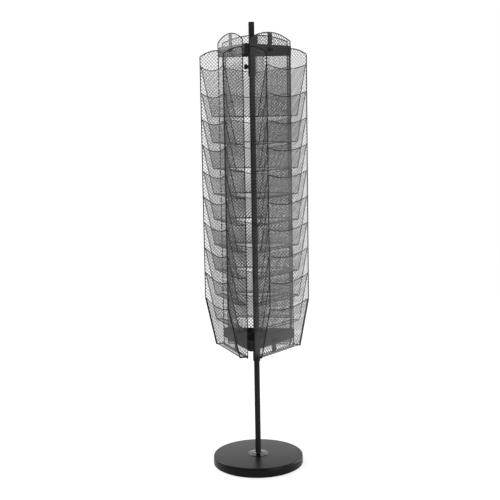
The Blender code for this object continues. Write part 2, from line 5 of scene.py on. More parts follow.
import bmesh
import bpy
from mathutils import Matrix, Vector


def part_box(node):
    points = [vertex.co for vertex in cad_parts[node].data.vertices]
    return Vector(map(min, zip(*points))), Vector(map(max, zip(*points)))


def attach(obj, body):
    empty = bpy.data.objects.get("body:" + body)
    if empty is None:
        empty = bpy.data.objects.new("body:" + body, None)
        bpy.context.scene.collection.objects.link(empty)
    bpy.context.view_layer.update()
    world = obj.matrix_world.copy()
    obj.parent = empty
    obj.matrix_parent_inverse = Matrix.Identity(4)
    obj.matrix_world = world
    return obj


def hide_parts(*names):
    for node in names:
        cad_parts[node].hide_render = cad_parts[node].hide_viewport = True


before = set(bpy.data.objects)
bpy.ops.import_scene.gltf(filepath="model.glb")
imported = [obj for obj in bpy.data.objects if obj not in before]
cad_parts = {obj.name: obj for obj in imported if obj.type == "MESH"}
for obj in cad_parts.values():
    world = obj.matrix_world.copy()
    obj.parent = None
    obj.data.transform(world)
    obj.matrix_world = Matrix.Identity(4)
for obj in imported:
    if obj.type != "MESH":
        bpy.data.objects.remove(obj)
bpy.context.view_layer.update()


# Base pad
# A disc of black felt glued under the base, so that the casting doesn't mark the floor.
# Pressed wool fibres give no gloss, only a soft speckle of paler fibres.


def linear(hex_colour):
    """Turns an sRGB hex colour into the linear values that a shader takes."""
    parts = [int(hex_colour[start:start + 2], 16) / 255 for start in (1, 3, 5)]
    return (*(p / 12.92 if p <= 0.04045 else ((p + 0.055) / 1.055) ** 2.4 for p in parts), 1.0)


def add_node(tree, kind, settings=None, links=None):
    """Adds one node, sets its properties and sockets, and links outputs into its sockets."""
    node = tree.nodes.new(kind)
    for name, value in (settings or {}).items():
        if isinstance(name, str) and hasattr(node, name):
            setattr(node, name, value)
        else:
            node.inputs[name].default_value = value
    for name, output in (links or {}).items():
        tree.links.new(output, node.inputs[name])
    return node


def new_finish(name, roughness=0.5, metallic=0.0, specular=0.5):
    """Starts a finish: its material, node tree and shader, and the piece's own coordinates."""
    material = bpy.data.materials.new(name)
    material.use_nodes = True
    tree = material.node_tree
    shader = tree.nodes["Principled BSDF"]
    shader.inputs["Roughness"].default_value = roughness
    shader.inputs["Metallic"].default_value = metallic
    shader.inputs["Specular IOR Level"].default_value = specular
    return material, tree, shader, add_node(tree, "ShaderNodeTexCoord").outputs["Object"]


def dress(piece, finish):
    """Gives a piece one finish all over."""
    piece.data.materials.clear()
    piece.data.materials.append(finish)


# Fibres are about 0.03 mm across; they are drawn as 1.5 mm tufts so that they show
tuft_size = 0.0015
felt, tree, shader, spot = new_finish("pressed_wool_felt", roughness=0.95, specular=0.1)
tufts = add_node(tree, "ShaderNodeTexNoise", {"Scale": 1 / tuft_size, "Detail": 6.0}, {"Vector": spot})
# A colour mix takes its two colours on sockets 6 and 7, and gives its result on output 2
fibres = add_node(
    tree, "ShaderNodeMix", {"data_type": "RGBA", 6: linear("#131314"), 7: linear("#2b2b2d")},
    {0: tufts.outputs["Fac"]},
)
nap = add_node(
    tree, "ShaderNodeBump", {"Strength": 0.6, "Distance": 0.0006}, {"Height": tufts.outputs["Fac"]},
)
tree.links.new(fibres.outputs[2], shader.inputs["Base Color"])
tree.links.new(nap.outputs["Normal"], shader.inputs["Normal"])
dress(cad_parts["base_pad"], felt)


# Cast base
# A round iron casting, hollow below, that keeps the tall rack from tipping over.
# It is turned on its top and edge, and sprayed with a finely textured black epoxy.

# Corners closer than same_place are one corner; what lies within near of a line or a ring is on it
same_place = 1e-6
near = 1e-4
sharp_angle = math.radians(32)


def pick(piece):
    """Selects one piece alone and makes it the active one."""
    bpy.ops.object.select_all(action="DESELECT")
    piece.select_set(True)
    bpy.context.view_layer.objects.active = piece


def select(kind, test):
    """Selects the vertices, edges or faces of the piece in edit mode whose middle passes a test."""
    bpy.ops.mesh.select_mode(type=kind)
    bpy.ops.mesh.select_all(action="DESELECT")
    shape = bmesh.from_edit_mesh(bpy.context.edit_object.data)
    for part in {"VERT": shape.verts, "EDGE": shape.edges, "FACE": shape.faces}[kind]:
        corners = [part.co] if kind == "VERT" else [corner.co for corner in part.verts]
        if test(sum(corners, Vector()) / len(corners)):
            part.select_set(True)
    bmesh.update_edit_mesh(bpy.context.edit_object.data)


def lathe(name, profile, steps):
    """Draws a profile of (radius, height) corners and spins it round the pole's axis."""
    bpy.ops.object.select_all(action="DESELECT")
    bpy.ops.mesh.primitive_plane_add()
    piece = bpy.context.object
    piece.name = name
    bpy.ops.object.mode_set(mode="EDIT")
    bpy.ops.mesh.select_mode(type="VERT")
    bpy.ops.mesh.select_all(action="SELECT")
    bpy.ops.mesh.merge(type="CENTER")
    radius, height = profile[0]
    bpy.ops.transform.translate(value=(radius, 0, height))
    for (radius, height), (ahead, above) in zip(profile, profile[1:]):
        move = {"value": (ahead - radius, 0, above - height)}
        bpy.ops.mesh.extrude_vertices_move(TRANSFORM_OT_translate=move)
    ends = [Vector((radius, 0, height)) for radius, height in (profile[0], profile[-1])]
    # A profile that stays off the axis is closed into a loop
    if max(end.x for end in ends) > 0:
        select("VERT", lambda corner: min((corner - end).length for end in ends) < same_place)
        bpy.ops.mesh.edge_face_add()
    bpy.ops.mesh.select_all(action="SELECT")
    bpy.ops.mesh.spin(steps=steps, angle=2 * math.pi, center=(0, 0, 0), axis=(0, 0, 1))
    bpy.ops.mesh.select_all(action="SELECT")
    bpy.ops.mesh.remove_doubles(threshold=same_place)
    bpy.ops.mesh.normals_make_consistent(inside=False)
    bpy.ops.object.mode_set(mode="OBJECT")
    return piece


def round_ring(piece, radius, height, size, segments):
    """Rounds one circular edge of a turned piece."""
    pick(piece)
    bpy.ops.object.mode_set(mode="EDIT")
    select("EDGE", lambda middle: (
        abs(middle.z - height) < near and abs(middle.xy.length - radius) < near
    ))
    bpy.ops.mesh.bevel(offset=size, segments=segments, affect="EDGES")
    bpy.ops.object.mode_set(mode="OBJECT")


def smooth(piece):
    """Shades the round faces of a piece smooth and keeps its corners sharp."""
    pick(piece)
    bpy.ops.object.shade_smooth_by_angle(angle=sharp_angle)


def fit(piece, finish, slot, body, *nodes):
    """Dresses a new piece, joins it to the body it moves with, and hides the solids it stands for."""
    dress(piece, finish)
    smooth(piece)
    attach(piece, body)
    if nodes:
        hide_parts(*nodes)


foot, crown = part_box("base_casting")
base_radius = crown.x
base_deck = 0.012
base_wall = 0.018
base_top_round = 0.007
base_foot_round = 0.003
bolt_hole = 0.0053
under_deck = crown.z - base_deck
base = lathe("cast_base", [
    (bolt_hole, under_deck), (bolt_hole, crown.z), (base_radius, crown.z), (base_radius, foot.z),
    (base_radius - base_wall, foot.z), (base_radius - base_wall, under_deck),
], steps=144)
round_ring(base, base_radius, crown.z, base_top_round, segments=6)
round_ring(base, base_radius, foot.z, base_foot_round, segments=3)

# Sprayed epoxy gives a deep black that mirrors softly at a flat angle, clouded by hands over 90 mm.
# Its grain is about 0.3 mm; it is drawn at 1.2 mm so that it shows as a faint roughness
epoxy_grain = 0.0012
hand_mark = 0.09
epoxy, tree, shader, spot = new_finish("textured_black_epoxy", specular=0.2)
grain = add_node(tree, "ShaderNodeTexNoise", {"Scale": 1 / epoxy_grain, "Detail": 3.0}, {"Vector": spot})
handling = add_node(tree, "ShaderNodeTexNoise", {"Scale": 1 / hand_mark, "Detail": 4.0}, {"Vector": spot})
coat = add_node(
    tree, "ShaderNodeMix", {"data_type": "RGBA", 6: linear("#0b0b0c"), 7: linear("#101011")},
    {0: handling.outputs["Fac"]},
)
gloss = add_node(
    tree, "ShaderNodeMapRange", {"To Min": 0.26, "To Max": 0.36}, {"Value": handling.outputs["Fac"]},
)
peel = add_node(
    tree, "ShaderNodeBump", {"Strength": 0.25, "Distance": 0.0003}, {"Height": grain.outputs["Fac"]},
)
tree.links.new(coat.outputs[2], shader.inputs["Base Color"])
tree.links.new(gloss.outputs["Result"], shader.inputs["Roughness"])
tree.links.new(peel.outputs["Normal"], shader.inputs["Normal"])
fit(base, epoxy, "base_coat", "stand", "base_casting")


# Bolt, washer, plug and spindle
# The bolt comes up through the casting into a tapped plug in the foot of the pole.
# The spindle is the turned pin on the pole's head that the racks turn on; all are zinc plated steel.

# Zinc plate gives a bright, cool grey metal with a fine mottle.
# Its crystals are about 0.4 mm; they are drawn at 2 mm so that the mottle shows
crystal_size = 0.002
zinc, tree, shader, spot = new_finish("zinc_plated_steel", metallic=1.0)
crystals = add_node(tree, "ShaderNodeTexVoronoi", {"Scale": 1 / crystal_size}, {"Vector": spot})
plate = add_node(
    tree, "ShaderNodeMix", {"data_type": "RGBA", 6: linear("#a9adb2"), 7: linear("#c9ccd0")},
    {0: crystals.outputs["Distance"]},
)
bloom = add_node(
    tree, "ShaderNodeMapRange", {"To Min": 0.28, "To Max": 0.42},
    {"Value": crystals.outputs["Distance"]},
)
tree.links.new(plate.outputs[2], shader.inputs["Base Color"])
tree.links.new(bloom.outputs["Result"], shader.inputs["Roughness"])
for hidden in ("base_bolt", "base_washer", "foot_plug", "spindle"):
    dress(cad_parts[hidden], zinc)


# Bush
# A flanged nylon bearing pressed into the turning pole, which runs on the spindle's shoulder.
# Machined from natural nylon rod: milky, waxy, with faint turning marks.

# The tool leaves marks about 0.1 mm apart; they are drawn at 0.3 mm so that they show close up.
# A wave node at a scale of 1 repeats every pi / 10
mark_step = 0.0003
nylon, tree, shader, spot = new_finish("natural_nylon", roughness=0.45)
marks = add_node(
    tree, "ShaderNodeTexWave",
    {"bands_direction": "Z", "Scale": math.pi / 10 / mark_step, "Distortion": 0.6}, {"Vector": spot},
)
milk = add_node(
    tree, "ShaderNodeMix", {"data_type": "RGBA", 6: linear("#dcd6c8"), 7: linear("#e8e4da")},
    {0: marks.outputs["Fac"]},
)
tree.links.new(milk.outputs[2], shader.inputs["Base Color"])
dress(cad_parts["bush"], nylon)


# Foot flange
# A dished steel ring that hides the joint of the pole and the base, dropped over the pole.
# Spun, polished and black nickel plated, so it mirrors the room in dark grey.


def soften(piece, width):
    """Breaks the sharp edges of a piece."""
    pick(piece)
    edge = piece.modifiers.new("broken_edge", "BEVEL")
    edge.width = width
    edge.segments = 2
    edge.limit_method = "ANGLE"
    edge.angle_limit = sharp_angle
    bpy.ops.object.modifier_apply(modifier=edge.name)


low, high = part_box("foot_flange")
pole_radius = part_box("lower_pole")[1].x
slip_gap = 0.0003
flange_bore = pole_radius + slip_gap
neck_wall = 0.004
throat_width = 0.0052
throat_drop = 0.0016
dish_start = 0.009
dish_drop = 0.0031
brim_width = 0.009
brim_height = 0.0026
lip_width = 0.001
lip_height = 0.002
edge_height = 0.0012
flange_edge = 0.0005
flange = lathe("foot_flange_ring", [
    (flange_bore, low.z), (flange_bore, high.z), (flange_bore + neck_wall, high.z),
    (flange_bore + throat_width, high.z - throat_drop), (flange_bore + dish_start, high.z - dish_drop),
    (high.x - brim_width, low.z + brim_height), (high.x - lip_width, low.z + lip_height),
    (high.x, low.z + edge_height), (high.x, low.z),
], steps=96)
soften(flange, flange_edge)

# Polishing lines are finer than 0.05 mm; they are drawn at 0.25 mm so that they show close up
line_step = 0.00025
nickel, tree, shader, spot = new_finish("black_nickel_plate", metallic=1.0)
lines = add_node(
    tree, "ShaderNodeTexWave",
    {"wave_type": "RINGS", "rings_direction": "Z", "Scale": math.pi / 10 / line_step, "Distortion": 1.0},
    {"Vector": spot},
)
tone = add_node(
    tree, "ShaderNodeMix", {"data_type": "RGBA", 6: linear("#4a4b4f"), 7: linear("#5e5f64")},
    {0: lines.outputs["Fac"]},
)
polish = add_node(
    tree, "ShaderNodeMapRange", {"To Min": 0.08, "To Max": 0.16}, {"Value": lines.outputs["Fac"]},
)
tree.links.new(tone.outputs[2], shader.inputs["Base Color"])
tree.links.new(polish.outputs["Result"], shader.inputs["Roughness"])
fit(flange, nickel, "black_nickel", "stand", "foot_flange")


# Fixed pole and turning pole
# Two lengths of round steel tube: the lower stands in the base, the upper turns on it with the racks.
# Cut square, their edges broken, and coated with a finely textured black powder.

pole_wall = 0.0016
pole_bore = pole_radius - pole_wall
broken_edge = 0.0004


def tube(name, node):
    """A length of pole between the ends of a solid, with broken edges."""
    low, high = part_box(node)
    made = lathe(name, [
        (pole_bore, low.z), (pole_bore, high.z), (high.x, high.z), (high.x, low.z),
    ], steps=64)
    soften(made, broken_edge)
    return made


# Textured powder gives an even black without a shine, dark right up to the tube's edges.
# Its texture is about 0.4 mm; it is drawn at 1.2 mm so that it shows close up. It flows over 50 mm
coat_grain = 0.0012
coat_flow = 0.05
matt, tree, shader, spot = new_finish("matt_black_powder_coat", specular=0.06)
grit = add_node(tree, "ShaderNodeTexNoise", {"Scale": 1 / coat_grain, "Detail": 3.0}, {"Vector": spot})
flow = add_node(tree, "ShaderNodeTexNoise", {"Scale": 1 / coat_flow, "Detail": 3.0}, {"Vector": spot})
coat = add_node(
    tree, "ShaderNodeMix", {"data_type": "RGBA", 6: linear("#252526"), 7: linear("#2c2c2d")},
    {0: flow.outputs["Fac"]},
)
dull = add_node(
    tree, "ShaderNodeMapRange", {"To Min": 0.62, "To Max": 0.76}, {"Value": flow.outputs["Fac"]},
)
skin = add_node(
    tree, "ShaderNodeBump", {"Strength": 0.2, "Distance": 0.0002}, {"Height": grit.outputs["Fac"]},
)
tree.links.new(coat.outputs[2], shader.inputs["Base Color"])
tree.links.new(dull.outputs["Result"], shader.inputs["Roughness"])
tree.links.new(skin.outputs["Normal"], shader.inputs["Normal"])

fit(tube("fixed_pole_tube", "lower_pole"), matt, "black_coat", "stand", "lower_pole")
fit(tube("turning_pole_tube", "upper_pole"), matt, "black_coat", "carousel", "upper_pole")


# Pole cap
# A black plug pressed into the top of the turning pole, with a slightly domed head.
# Moulded polyethylene, whose fine spark-eroded grain breaks the shine into a soft sheen.
low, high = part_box("pole_cap")
cap_plug = pole_bore - slip_gap
cap_head = 0.0025
cap_side_drop = 0.0012
cap_shoulder_width = 0.0008
cap_shoulder_drop = 0.0005
cap_dome = 0.6 * high.x
cap_dome_drop = 0.0001
under_head = high.z - cap_head
cap = lathe("pole_end_cap", [
    (0, low.z), (cap_plug, low.z), (cap_plug, under_head), (high.x, under_head),
    (high.x, high.z - cap_side_drop), (high.x - cap_shoulder_width, high.z - cap_shoulder_drop),
    (cap_dome, high.z - cap_dome_drop), (0, high.z),
], steps=64)

# The mould's grain is about 0.15 mm; it is drawn at 0.7 mm so that it shows close up
mould_grain = 0.0007
plastic, tree, shader, spot = new_finish("black_moulded_plastic", roughness=0.42)
grain = add_node(tree, "ShaderNodeTexNoise", {"Scale": 1 / mould_grain, "Detail": 2.0}, {"Vector": spot})
dye = add_node(
    tree, "ShaderNodeMix", {"data_type": "RGBA", 6: linear("#101011"), 7: linear("#18181a")},
    {0: grain.outputs["Fac"]},
)
spark = add_node(
    tree, "ShaderNodeBump", {"Strength": 0.2, "Distance": 0.0002}, {"Height": grain.outputs["Fac"]},
)
tree.links.new(dye.outputs[2], shader.inputs["Base Color"])
tree.links.new(spark.outputs["Normal"], shader.inputs["Normal"])
fit(cap, plastic, "black_plastic", "carousel", "pole_cap")


# Brackets
# Two spiders that carry the racks: a sleeve on the pole, three flat arms on edge, a triangular band
# and a short strap on each rack's back. Cut and bent from flat bar, fillet welded and powder coated.


def join(name, pieces):
    """Joins pieces into one."""
    pick(pieces[0])
    for piece in pieces:
        piece.select_set(True)
    bpy.ops.object.join()
    pieces[0].name = name
    return pieces[0]


def settle(piece):
    """Moves the place and turn of a piece into its mesh."""
    pick(piece)
    bpy.ops.object.transform_apply(location=True, rotation=True, scale=True)
    return piece


def twin(piece, name, lift=0.0, turn=0.0):
    """Copies a piece up the pole and round it, with a mesh of its own."""
    copy = piece.copy()
    copy.data = piece.data.copy()
    copy.name = name
    bpy.context.scene.collection.objects.link(copy)
    copy.data.transform(Matrix.Rotation(turn, 4, "Z") @ Matrix.Translation((0, 0, lift)))
    return copy


def scrap(*patterns):
    """Throws patterns away once they have been copied or have cut."""
    for pattern in patterns:
        bpy.data.objects.remove(pattern, do_unlink=True)


def flat_bar(name, size, middle, edge):
    """A straight piece of flat bar with broken edges."""
    bpy.ops.object.select_all(action="DESELECT")
    bpy.ops.mesh.primitive_cube_add(size=1, location=middle, scale=size)
    bar = settle(bpy.context.object)
    soften(bar, edge)
    bar.name = name
    return bar


def carve(piece, tool, operation):
    """Cuts a piece with a tool's shape, or keeps only what lies inside that shape."""
    pick(piece)
    cut = piece.modifiers.new("cut", "BOOLEAN")
    cut.operation = operation
    cut.object = tool
    bpy.ops.object.modifier_apply(modifier=cut.name)


sleeve_low, sleeve_high = (corner.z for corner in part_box("lower_bracket"))
sleeve_bore = pole_radius + slip_gap
sleeve_radius = 0.0145
sleeve_edge = 0.0005
sleeve = lathe("sleeve", [
    (sleeve_bore, sleeve_low), (sleeve_bore, sleeve_high),
    (sleeve_radius, sleeve_high), (sleeve_radius, sleeve_low),
], steps=64)
soften(sleeve, sleeve_edge)

# Where the racks are: their backs' distance from the pole's axis, their lowest wire and its radius,
# and half the thickness of their sheets
rack_back = 0.0882
rack_bottom = 0.4655
rim_wire = 0.002
half_sheet = 0.0005
# How far from the middle of a sheet or of a wire the next piece begins
beside_sheet = half_sheet + slip_gap
beside_wire = rim_wire + slip_gap

strap_face = rack_back - beside_sheet
strap_steel = 0.003
strap_width = 0.025
strap_weld = 0.0005
band_reach = strap_face - strap_steel + strap_weld
band_height = 0.037
band_steel = 0.003
band_bend = 0.008
band_below_sleeve = 0.0075
band_low = sleeve_high - band_below_sleeve - band_height
band_middle = band_low + band_height / 2
bpy.ops.object.select_all(action="DESELECT")
bpy.ops.mesh.primitive_circle_add(
    vertices=3, radius=2 * band_reach, fill_type="NGON",
    location=(0, 0, band_low), rotation=(0, 0, math.pi),
)
band = settle(bpy.context.object)
bpy.ops.object.mode_set(mode="EDIT")
# At a corner of 60 degrees a bend begins its radius times the tangent of 60 degrees from the corner
bpy.ops.mesh.bevel(offset=band_bend * math.tan(math.pi / 3), segments=8, affect="VERTICES")
bpy.ops.mesh.select_all(action="SELECT")
bpy.ops.mesh.extrude_region_move(TRANSFORM_OT_translate={"value": (0, 0, band_height)})
# The faces above and below go, which leaves the band's outer skin
select("FACE", lambda middle: middle.xy.length < band_reach / 2)
bpy.ops.mesh.delete(type="FACE")
bpy.ops.mesh.select_all(action="SELECT")
bpy.ops.mesh.normals_make_consistent(inside=False)
bpy.ops.object.mode_set(mode="OBJECT")
thick = band.modifiers.new("bar_thickness", "SOLIDIFY")
thick.thickness = band_steel
thick.offset = -1
thick.use_even_offset = True
bpy.ops.object.modifier_apply(modifier=thick.name)
soften(band, broken_edge)

arm_bite = 0.0015
arm_inner = sleeve_radius - arm_bite
arm_outer = band_reach - band_steel / 2
arm_height = 0.033
arm_steel = 0.004
weld = 0.0016
bead_short = 0.001
bead_height = arm_height - 2 * bead_short
bead_round = 0.9 * weld
arm_size = (arm_outer - arm_inner, arm_steel, arm_height)
arm_parts = [flat_bar("arm", arm_size, ((arm_outer + arm_inner) / 2, 0, band_middle), broken_edge)]
bead = flat_bar("bead", (2 * weld, 2 * weld, bead_height), (0, 0, band_middle), bead_round)
for along in (sleeve_radius, band_reach - band_steel):
    for side in (-1, 1):
        run = twin(bead, "bead_copy")
        run.data.transform(Matrix.Translation((along, side * arm_steel / 2, 0)))
        arm_parts.append(run)
arm = join("arm", arm_parts)
arms = [twin(arm, "arm_copy", turn=math.radians(turn)) for turn in (90, 210, 330)]
spider = join("spider", [band] + arms)

# Satin powder gives a deep black with a soft sheen where the bar's flats face the light.
# Its orange peel is about 0.5 mm; it is drawn at 1.2 mm, like the pole's coat, and flows over 50 mm
powder, tree, shader, spot = new_finish("satin_black_powder_coat", specular=0.2)
peel = add_node(tree, "ShaderNodeTexNoise", {"Scale": 1 / coat_grain, "Detail": 2.0}, {"Vector": spot})
flow = add_node(tree, "ShaderNodeTexNoise", {"Scale": 1 / coat_flow, "Detail": 3.0}, {"Vector": spot})
coat = add_node(
    tree, "ShaderNodeMix", {"data_type": "RGBA", 6: linear("#1a1a1b"), 7: linear("#222224")},
    {0: flow.outputs["Fac"]},
)
satin = add_node(
    tree, "ShaderNodeMapRange", {"To Min": 0.44, "To Max": 0.56}, {"Value": flow.outputs["Fac"]},
)
skin = add_node(
    tree, "ShaderNodeBump", {"Strength": 0.12, "Distance": 0.0002}, {"Height": peel.outputs["Fac"]},
)
tree.links.new(coat.outputs[2], shader.inputs["Base Color"])
tree.links.new(satin.outputs["Result"], shader.inputs["Roughness"])
tree.links.new(skin.outputs["Normal"], shader.inputs["Normal"])

screw_hole = 0.0033
drill_length = 0.02
knob_turns = {"upper": math.radians(180), "lower": math.radians(150)}
upper_low, upper_high = (corner.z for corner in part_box("upper_bracket"))
upper_lift = upper_low - sleeve_low
for level, lift, strap_low, strap_high in (
    ("upper", upper_lift, band_low + upper_lift, upper_high),
    ("lower", 0, rack_bottom + beside_wire, band_low + band_height),
):
    drilled = twin(sleeve, "sleeve_copy", lift)
    low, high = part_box(level + "_knob")
    bpy.ops.object.select_all(action="DESELECT")
    bpy.ops.mesh.primitive_cylinder_add(
        vertices=32, radius=screw_hole, depth=drill_length,
        location=(sleeve_radius, 0, 0), rotation=(0, math.pi / 2, 0),
    )
    drill = settle(bpy.context.object)
    drill.rotation_euler = (0, 0, knob_turns[level])
    drill.location = (0, 0, (low.z + high.z) / 2)
    carve(drilled, settle(drill), "DIFFERENCE")
    strap_size = (strap_width, strap_steel, strap_high - strap_low)
    strap_middle = (0, strap_face - strap_steel / 2, (strap_low + strap_high) / 2)
    strap = flat_bar("strap", strap_size, strap_middle, broken_edge)
    straps = [twin(strap, "strap_copy", turn=math.radians(turn)) for turn in (0, 120, 240)]
    made = join(level + "_bracket_weldment", [twin(spider, "spider_copy", lift), drilled] + straps)
    fit(made, powder, "black_coat", "carousel", level + "_bracket")
    scrap(drill, strap)
scrap(spider, arm, bead, sleeve)


# Clamp knobs
# A scalloped hand knob on each sleeve, whose screw pinches the pole so that the bracket stays put.
# The upper head is black plastic moulded on a plated screw; the lower is turned steel, zinc plated.
knob_radius = 0.010
knob_seat = 0.0148
collar_radius = 0.0055
collar_length = 0.003
knob_head = knob_seat + collar_length
knob_length = 0.012
knob_end = knob_head + knob_length
back_bevel = 0.0016
back_rise = 0.0018
front_bevel = 0.0022
front_drop = 0.0026
face_drop = 0.0004
face_radius = 0.0042
recess_radius = 0.0038
recess_depth = 0.0008
recess_end = knob_end - recess_depth
knob = lathe("upper_hand_knob", [
    (0, knob_seat), (collar_radius, knob_seat), (collar_radius, knob_head),
    (knob_radius - back_bevel, knob_head), (knob_radius, knob_head + back_rise),
    (knob_radius, knob_end - front_drop), (knob_radius - front_bevel, knob_end - face_drop),
    (face_radius, knob_end), (recess_radius, recess_end), (0, recess_end),
], steps=72)
scallop_radius = 0.004
scallop_out = 0.0124
scallop_length = 0.03
lobes = 6
bpy.ops.object.select_all(action="DESELECT")
bpy.ops.mesh.primitive_cylinder_add(
    vertices=32, radius=scallop_radius, depth=scallop_length,
    location=(scallop_out, 0, (knob_head + knob_end) / 2),
)
scallop = settle(bpy.context.object)
cuts = [twin(scallop, "scallop_copy", turn=(lobe + 0.5) * 2 * math.pi / lobes) for lobe in range(lobes)]
scallops = join("scallops", cuts)
carve(knob, scallops, "DIFFERENCE")
soften(knob, broken_edge)
scrap(scallop, scallops)

screw_tip = 0.0114
screw_radius = 0.003
screw_side_drop = 0.0007
screw_shoulder = 0.0026
screw_shoulder_drop = 0.0002
screw_flat = 0.0012
screw = lathe("upper_knob_screw", [
    (0, screw_tip), (screw_radius, screw_tip), (screw_radius, knob_end - screw_side_drop),
    (screw_shoulder, knob_end - screw_shoulder_drop), (screw_flat, knob_end), (0, knob_end),
], steps=32)
for level, head, head_slot in (("upper", plastic, "black_plastic"), ("lower", zinc, "plated_steel")):
    low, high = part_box(level + "_knob")
    for shape, name in ((knob, level + "_clamp_knob"), (screw, level + "_clamp_screw")):
        turned = twin(shape, name)
        turned.rotation_euler = (0, math.pi / 2, knob_turns[level])
        turned.location = (0, 0, (low.z + high.z) / 2)
        settle(turned)
        if shape is knob:
            fit(turned, head, head_slot, level + "_clamp", level + "_knob")
        else:
            fit(turned, zinc, "plated_steel", level + "_clamp")
scrap(knob, screw)


# Rack frames
# Each rack hangs on a frame of round wire: one loop round the arched back, one bend round each side.
# The wires are bent, butt welded at the corners and powder coated with the mesh already in them.


def cut_off(point, outward):
    """Cuts away the part of a flat sheet that lies beyond a line."""
    bpy.ops.mesh.select_all(action="SELECT")
    bpy.ops.mesh.bisect(plane_co=point, plane_no=outward, clear_outer=True)


def bow_edge(test, cuts, rise):
    """Divides one edge of a flat sheet and bows it up, or down where the rise is negative."""
    select("EDGE", test)
    bpy.ops.mesh.subdivide(number_cuts=cuts)
    shape = bmesh.from_edit_mesh(bpy.context.edit_object.data)
    bowed = [corner.co.copy() for corner in shape.verts if corner.select]
    start = min(place.x for place in bowed)
    span = max(place.x for place in bowed) - start
    for place in bowed:
        share = (place.x - start) / span
        select("VERT", lambda corner: (corner - place).length < same_place)
        bpy.ops.transform.translate(value=(0, 0, 4 * rise * share * (1 - share)))


def round_corners(test, size):
    """Rounds corners of a flat sheet."""
    select("VERT", test)
    bpy.ops.mesh.bevel(offset=size, segments=6, affect="VERTICES")


def edge_wire(sheet, name, radius, keep=lambda middle: True):
    """Bends a round wire along the edges of a flat sheet."""
    line = twin(sheet, name)
    pick(line)
    bpy.ops.object.mode_set(mode="EDIT")
    bpy.ops.mesh.select_all(action="SELECT")
    bpy.ops.mesh.delete(type="ONLY_FACE")
    select("EDGE", lambda middle: not keep(middle))
    bpy.ops.mesh.delete(type="EDGE")
    bpy.ops.object.mode_set(mode="OBJECT")
    bpy.ops.object.convert(target="CURVE")
    line.data.bevel_depth = radius
    line.data.bevel_resolution = 2
    line.data.use_fill_caps = True
    bpy.ops.object.convert(target="MESH")
    return line


def flat_sheet(left, right, bottom, top):
    """A flat sheet facing the front, open for cutting to shape."""
    bpy.ops.object.select_all(action="DESELECT")
    bpy.ops.mesh.primitive_plane_add(
        size=1, location=((left + right) / 2, 0, (bottom + top) / 2), rotation=(math.pi / 2, 0, 0),
    )
    sheet = bpy.context.object
    sheet.scale = (right - left, top - bottom, 1)
    settle(sheet)
    bpy.ops.object.mode_set(mode="EDIT")
    return sheet


# Widths and depths are to the wire's middle; the back's arch is a piece of a circle
rim_x = 0.126
rim_depth = 0.075
rim_foot_depth = 0.033
side_bottom = 0.471
knee = 0.6633
wall_front_top = 1.6020
wall_back_top = 1.6263
wall_top_bulge = 0.006
wall_top_bend = 0.004
toe_bend = 0.003
shoulder = 1.6543
shoulder_bend = 0.007
arch_rise = 0.0277
back_foot_bend = 0.0035
arch_radius = (rim_x ** 2 + arch_rise ** 2) / (2 * arch_rise)
arch_centre = shoulder + arch_rise - arch_radius

# The back is the top of a disc, cut off below the shoulders and drawn down to the rack's bottom
arch_skirt = 0.05
arch_foot = shoulder - arch_skirt
bpy.ops.object.select_all(action="DESELECT")
bpy.ops.mesh.primitive_circle_add(
    vertices=160, radius=arch_radius, fill_type="NGON",
    location=(0, 0, arch_centre), rotation=(math.pi / 2, 0, 0),
)
back_sheet = settle(bpy.context.object)
bpy.ops.object.mode_set(mode="EDIT")
cut_off((rim_x, 0, 0), (1, 0, 0))
cut_off((-rim_x, 0, 0), (-1, 0, 0))
cut_off((0, 0, arch_foot), (0, 0, -1))
select("VERT", lambda corner: corner.z < arch_foot + near)
bpy.ops.transform.translate(value=(0, 0, rack_bottom - arch_foot))
round_corners(lambda corner: corner.z < rack_bottom + near, back_foot_bend)
round_corners(lambda corner: abs(corner.x) > rim_x - near and corner.z > shoulder - near, shoulder_bend)
bpy.ops.object.mode_set(mode="OBJECT")

side_sheet = flat_sheet(0, rim_depth, side_bottom, wall_back_top)
slope = Vector((rim_depth - rim_foot_depth, 0, knee - side_bottom))
cut_off((rim_foot_depth, 0, side_bottom), (slope.z, 0, -slope.x))
cut_off((rim_depth, 0, wall_front_top), (wall_back_top - wall_front_top, 0, rim_depth))
bow_edge(lambda middle: middle.z > wall_front_top + near, cuts=9, rise=wall_top_bulge)
round_corners(lambda corner: corner.x > rim_depth - near and corner.z > knee + near, wall_top_bend)
round_corners(lambda corner: corner.x > near and corner.z < side_bottom + near, toe_bend)
bpy.ops.object.mode_set(mode="OBJECT")

back_loop = edge_wire(back_sheet, "back_loop", rim_wire)
back_loop.location = (0, rack_back, 0)
frame_wires = [settle(back_loop)]
side_bend = edge_wire(side_sheet, "side_bend", rim_wire, lambda middle: middle.x > near)
side_bend.rotation_euler = (0, 0, math.pi / 2)
side_bend.location = (0, rack_back, 0)
settle(side_bend)
for side in (-1, 1):
    bend = twin(side_bend, "bend_copy")
    bend.data.transform(Matrix.Translation((side * rim_x, 0, 0)))
    frame_wires.append(bend)
rack_frame = join("rack_frame", frame_wires)

rack_turns = {"rear": 0.0, "left": math.radians(120), "right": math.radians(240)}
for rack, turn in rack_turns.items():
    made = twin(rack_frame, rack + "_rack_wire_frame", turn=turn)
    fit(made, matt, "black_coat", "carousel", rack + "_rack_rim")
scrap(rack_frame, side_bend)


# Back and side mesh
# Flattened expanded steel sheet, cut to the frame's outline and welded into its wires.
# Slit, stretched into diamonds and rolled flat, then powder coated satin black.

# The real diamonds are about 5 mm; they are drawn at 9.3 mm so that the strands show in the picture
strand_pitch = 0.0093
strand_width = 0.00155
strand_steel = 0.0004
# One row of strands is thinner than the other, so that where they cross no two faces lie in one plane
crossing_steel = 0.8 * strand_steel
outline_depth = 0.004


